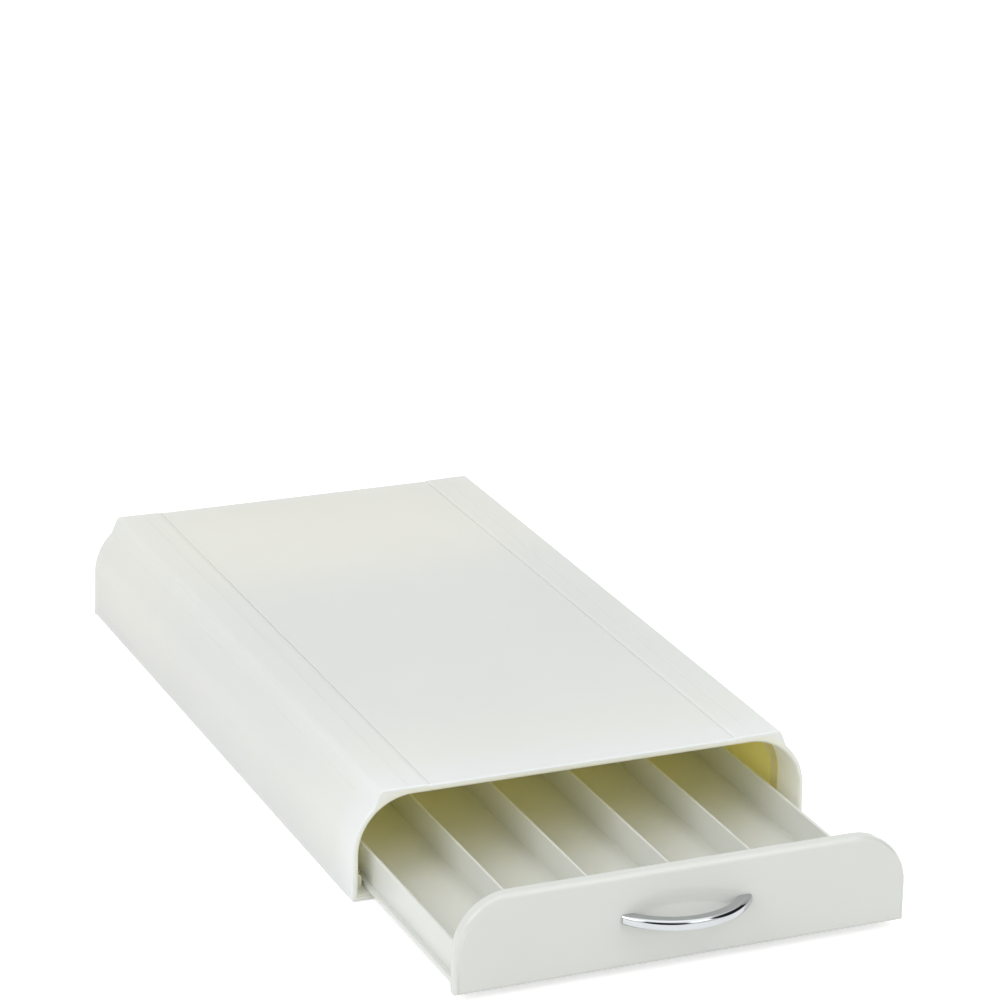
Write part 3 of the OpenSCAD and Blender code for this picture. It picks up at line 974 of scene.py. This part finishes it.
screw_boxes = {name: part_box(name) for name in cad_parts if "screw" in name}
plate_back = panel_low.y + PLATE_THICKNESS
for name, (low, high) in screw_boxes.items():
    x, z = (low.x + high.x) / 2, (low.z + high.z) / 2
    boss_end = plate_back + HANDLE_BOSS_HEIGHT if "handle" in name else panel_high.y
    round_bar(panel_bm, x, z, plate_back - SEAT, boss_end, BOSS_RADIUS)
finish_piece(panel_bm, "front_cap", "drawer_body", "front_panel", "panel_plastic", panel_abs_painted_shade)

# %% [markdown]
# ## The bow handle
#
# In plan the bow is the space between two arcs that stand on the panel, so it is thick at its
# feet and slimmer in the middle. Polishing before plating rounds every edge. The wheel reaches
# the outside best, so the front edges get a round of 1.9 mm, which leaves a narrow flat between
# two bright bands, and the edges behind the bow only 0.6 mm.

# %% Make the bow handle
HANDLE_FOOT = mm(7.2)
BOW_THICKNESS = mm(6)
FRONT_EDGE = mm(1.9)
BACK_EDGE = mm(0.6)
UPRIGHT = (0, 0, 1)

bow_front, bow_back = handle_low.y, handle_low.y + BOW_THICKNESS
inner_half = handle_high.x - HANDLE_FOOT
outer_radius, outer_turn = arc_through(handle_high.x, panel_low.y - bow_front)
inner_radius, inner_turn = arc_through(inner_half, panel_low.y - bow_front - BOW_THICKNESS)
handle_bm = bmesh.new()
first = start_at(handle_bm, 0, bow_front, handle_low.z)
last = arc_to(handle_bm, first, (0, bow_front + outer_radius, handle_low.z), outer_turn, UPRIGHT)
last = line_to(handle_bm, last, x=inner_half, y=panel_low.y)
arc_to(handle_bm, last, (0, bow_back + inner_radius, handle_low.z), -inner_turn, UPRIGHT)
mirror(handle_bm)
bow = fill(handle_bm, handle_bm.edges[:])
push(handle_bm, [bow], (0, 0, handle_high.z - handle_low.z))


def on_arc(place, arc_front, radius):
    """Whether a place is on an arc in plan that starts at a front and has a radius."""
    return near(math.hypot(place.x, place.y - arc_front - radius), radius)


outside = folds(handle_bm, lambda place: on_arc(place, bow_front, outer_radius))
round_over(handle_bm, outside, FRONT_EDGE, segments=8)
inside = folds(handle_bm, lambda place: on_arc(place, bow_back, inner_radius))
round_over(handle_bm, inside, BACK_EDGE, segments=3)
finish_piece(handle_bm, "bow_pull", "drawer_body", "handle", "handle_chrome", chrome)

# %% [markdown]
# ## The screws
#
# Each screw has a pan head with a cross recess. The head is a bar with a rounded edge. Its end
# face is sliced by eight cuts, the cells that make up a cross are picked out, and they are
# pushed in. The shank runs forward from the head into the panel or the handle.

# %% Make the screws
HEAD_HEIGHT = mm(1.8)
HEAD_EDGE = mm(0.9)
HANDLE_SHANK_RADIUS = mm(1.5)
PANEL_SHANK_RADIUS = mm(1.4)
CROSS_HALF = mm(0.38)
CROSS_REACH = mm(1.35)
CROSS_DEPTH = mm(1)


def make_screw(name, low, high):
    x, z = (low.x + high.x) / 2, (low.z + high.z) / 2
    head_start = high.y - HEAD_HEIGHT
    screw_bm = bmesh.new()
    round_bar(screw_bm, x, z, head_start, high.y, (high.x - low.x) / 2)
    head_edges = folds(screw_bm, lambda place: near(place.y, high.y))
    round_over(screw_bm, head_edges, HEAD_EDGE, segments=5)
    end = [f for f in screw_bm.faces if near(f.calc_center_median().y, high.y)]
    for axis, middle in ((X_AXIS, x), (Z_AXIS, z)):
        cuts = [middle + step for step in (-CROSS_REACH, -CROSS_HALF, CROSS_HALF, CROSS_REACH)]
        end = slice_faces(screw_bm, end, axis, cuts)
    cross = []
    for face in end:
        place = face.calc_center_bounds()
        across, up = abs(place.x - x), abs(place.z - z)
        if min(across, up) < CROSS_HALF and max(across, up) < CROSS_REACH:
            cross.append(face)
    push(screw_bm, cross, (0, -CROSS_DEPTH, 0))
    shank_radius = HANDLE_SHANK_RADIUS if "handle" in name else PANEL_SHANK_RADIUS
    round_bar(screw_bm, x, z, low.y, head_start, shank_radius, steps=20)
    finish_piece(screw_bm, f"{name}_pan_head", "drawer_body", name, "screw_steel", zinc)


for name, (low, high) in screw_boxes.items():
    make_screw(name, low, high)

# %% [markdown]
# ## The stop clips
#
# A stop clip is a small nylon block with a round head, and a peg that is pressed into the
# flange. Its outline has one arc over the top, and is pushed back to the clip's depth. Its
# edges are eased, except where it stands on the flange.

# %% Make the stop clips
CLIP_EDGE = mm(0.35)
PEG_RADIUS = mm(1.4)
PEG_STEPS = 24


def make_clip(side):
    low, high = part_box(f"stop_clip_{side}")
    middle_x, half = (low.x + high.x) / 2, (high.x - low.x) / 2
    middle_y = (low.y + high.y) / 2
    clip_bm = bmesh.new()
    first = start_at(clip_bm, middle_x - half, low.y, FLANGE_Z)
    last = line_to(clip_bm, first, z=high.z - half)
    last = arc_to(clip_bm, last, (middle_x, low.y, high.z - half), 180)
    last = line_to(clip_bm, last, z=FLANGE_Z)
    clip_bm.edges.new((last, first))
    push(clip_bm, [fill(clip_bm, clip_bm.edges[:])], (0, high.y - low.y, 0))
    eased = folds(clip_bm, lambda place: place.z > FLANGE_Z + TINY
                  or near(place.y, low.y) or near(place.y, high.y))
    round_over(clip_bm, eased, CLIP_EDGE, segments=3)
    peg_middle = (FLANGE_Z + SEAT + BASE_Z) / 2
    bmesh.ops.create_cone(clip_bm, cap_ends=True, segments=PEG_STEPS, radius1=PEG_RADIUS,
                          radius2=PEG_RADIUS, depth=FLANGE_Z + SEAT - BASE_Z,
                          matrix=Matrix.Translation((middle_x, middle_y, peg_middle)))
    finish_piece(clip_bm, f"{side}_stop", "housing_body", f"stop_clip_{side}",
                 "clip_plastic", nylon)


for side in ("left", "right"):
    make_clip(side)

# %% [markdown]
# ## The foot pads
#
# A foot pad is cut from a sheet of foam and stuck into its pocket. Its corners are round in
# plan, and its bottom edge is barely eased, so it takes two bevels of different radius.

# %% Make the foot pads
PAD_CORNER = mm(2)
PAD_EDGE = mm(0.25)

for place in PAD_PLACES:
    low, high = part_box(f"foot_{place}")
    pad_bm = bmesh.new()
    block(pad_bm, low, high)
    upright = [e for e in pad_bm.edges if not near(e.verts[0].co.z, e.verts[1].co.z)]
    round_over(pad_bm, upright, PAD_CORNER, segments=6)
    bottom = folds(pad_bm, lambda spot: near(spot.z, low.z))
    round_over(pad_bm, bottom, PAD_EDGE, segments=3)
    finish_piece(pad_bm, f"{place}_pad", "housing_body", f"foot_{place}", "foot_rubber", foam)

# %% [markdown]
# ## The floor
#
# White goods show best in a tent of soft light, on a white floor that runs out of sight. The
# floor here is pale and matt. What the camera and the reflections see of it gets a little glow
# on top, so that it reads as white, while the object's soft shadow stays. The glow depends on
# the kind of ray, so it adds no light to the object.

# %% Make the floor
FLOOR_SIZE = 12
FLOOR_GLOW = 0.54


def seen_ray(tree):
    """1 for camera, glossy and transmission rays, and 0 for the rays that carry light."""
    path = add_node(tree, "LightPath").outputs
    some = add_node(tree, "Math", {
        0: path["Is Camera Ray"], 1: path["Is Glossy Ray"]}, operation="MAXIMUM")
    every = add_node(tree, "Math", {
        0: some.outputs[0], 1: path["Is Transmission Ray"]}, operation="MAXIMUM")
    return every.outputs[0]


floor_white = bpy.data.materials.new("pale_studio_floor")
floor_white.use_nodes = True
tree = floor_white.node_tree
tree.nodes.clear()
matt = add_node(tree, "BsdfDiffuse", {"Color": linear("#E8E8E8")})
glow = add_node(tree, "Math", {0: seen_ray(tree), 1: FLOOR_GLOW}, operation="MULTIPLY")
light = add_node(tree, "Emission", {"Strength": glow.outputs[0]})
both = add_node(tree, "AddShader", {0: matt.outputs[0], 1: light.outputs[0]})
add_node(tree, "OutputMaterial", {"Surface": both.outputs[0]})
floor_bm = bmesh.new()
bmesh.ops.create_grid(floor_bm, x_segments=1, y_segments=1, size=FLOOR_SIZE / 2)
floor = add_object(floor_bm, "studio_floor", [floor_white])
print("floor", FLOOR_SIZE, "m across")

# %% [markdown]
# ## The light
#
# The world lights the object at a plain level, and shows white behind it. In a tent that is
# white all round, chrome and gloss have nothing dark to mirror, and lose their form. So two
# black cards hang out of view, which are round patches in the world that only glossy rays see.
# They draw the dark band in the handle, and take nothing from the light.
#
# Three softboxes give the forms their soft shading. The two fills stand low and brighten the
# side and the front. Gloss would mirror them as bright patches, so they are hidden from it.

# %% Make the world
WORLD_LEVEL = 0.6
WHITE = (1, 1, 1, 1)
BLACK_CARD = (0.03, 0.03, 0.035, 1)
CARD_ELEVATION = math.radians(27)
CARD_BLUR = 0.02


def black_card(tree, way, azimuth, half_width):
    """1 where a direction falls on a round card, at an azimuth to the right of the front."""
    azimuth = math.radians(azimuth)
    level = math.cos(CARD_ELEVATION)
    middle = (math.sin(azimuth) * level, -math.cos(azimuth) * level, math.sin(CARD_ELEVATION))
    along = add_node(tree, "VectorMath", {0: way, 1: middle}, operation="DOT_PRODUCT")
    rim = math.cos(math.radians(half_width))
    card = add_node(tree, "MapRange", {
        "Value": along.outputs["Value"], "From Min": rim - CARD_BLUR, "From Max": rim + CARD_BLUR})
    return card.outputs["Result"]


def make_world():
    world = bpy.data.worlds.new("light_tent")
    bpy.context.scene.world = world
    world.use_nodes = True
    tree = world.node_tree
    tree.nodes.clear()
    way = add_node(tree, "TexCoord").outputs["Generated"]
    cards = add_node(tree, "Math", {
        0: black_card(tree, way, azimuth=-22, half_width=28),
        1: black_card(tree, way, azimuth=80, half_width=30)}, operation="MAXIMUM")
    glossy = add_node(tree, "LightPath").outputs["Is Glossy Ray"]
    mirrored = add_node(tree, "Math", {0: cards.outputs[0], 1: glossy}, operation="MULTIPLY")
    seen = add_node(tree, "Mix", {
        MIX_FACTOR: mirrored.outputs[0], MIX_FIRST: WHITE, MIX_SECOND: BLACK_CARD},
        data_type="RGBA")
    lit = (WORLD_LEVEL, WORLD_LEVEL, WORLD_LEVEL, 1)
    colour = add_node(tree, "Mix", {
        MIX_FACTOR: seen_ray(tree), MIX_FIRST: lit, MIX_SECOND: seen.outputs[MIX_RESULT]},
        data_type="RGBA")
    sky = add_node(tree, "Background", {"Color": colour.outputs[MIX_RESULT]})
    add_node(tree, "OutputWorld", {"Surface": sky.outputs["Background"]})


make_world()
bpy.context.scene.view_settings.view_transform = "Standard"
print("the world lights at", WORLD_LEVEL)

# %% Hang the softboxes
def make_softbox(name, place, size, watts, mirrored=True):
    """A rectangular lamp that faces the origin. Gloss shows it only if it is mirrored."""
    data = bpy.data.lights.new(name, "AREA")
    data.shape = "RECTANGLE"
    data.size, data.size_y = size
    data.energy = watts
    lamp = bpy.data.objects.new(name, data)
    toward = -Vector(place)
    lamp.matrix_world = (Matrix.Translation(place)
                         @ toward.to_track_quat("-Z", "Y").to_matrix().to_4x4())
    lamp.visible_glossy = mirrored
    bpy.context.scene.collection.objects.link(lamp)
    print(name, "at", place, "m,", watts, "W")


make_softbox("softbox_top", (0, 0.1, 1.6), size=(1.8, 1.8), watts=6)
make_softbox("softbox_left", (-1.45, -0.53, 1.4), size=(1.0, 1.0), watts=7)
make_softbox("softbox_right", (0.66, -1.24, 1.4), size=(0.7, 0.7), watts=3)
make_softbox("fill_left", (-1.4, -1.2, 0.7), size=(1.4, 1.4), watts=8.5, mirrored=False)
make_softbox("fill_right", (1.3, -1.3, 0.5), size=(1.0, 0.7), watts=4.5, mirrored=False)
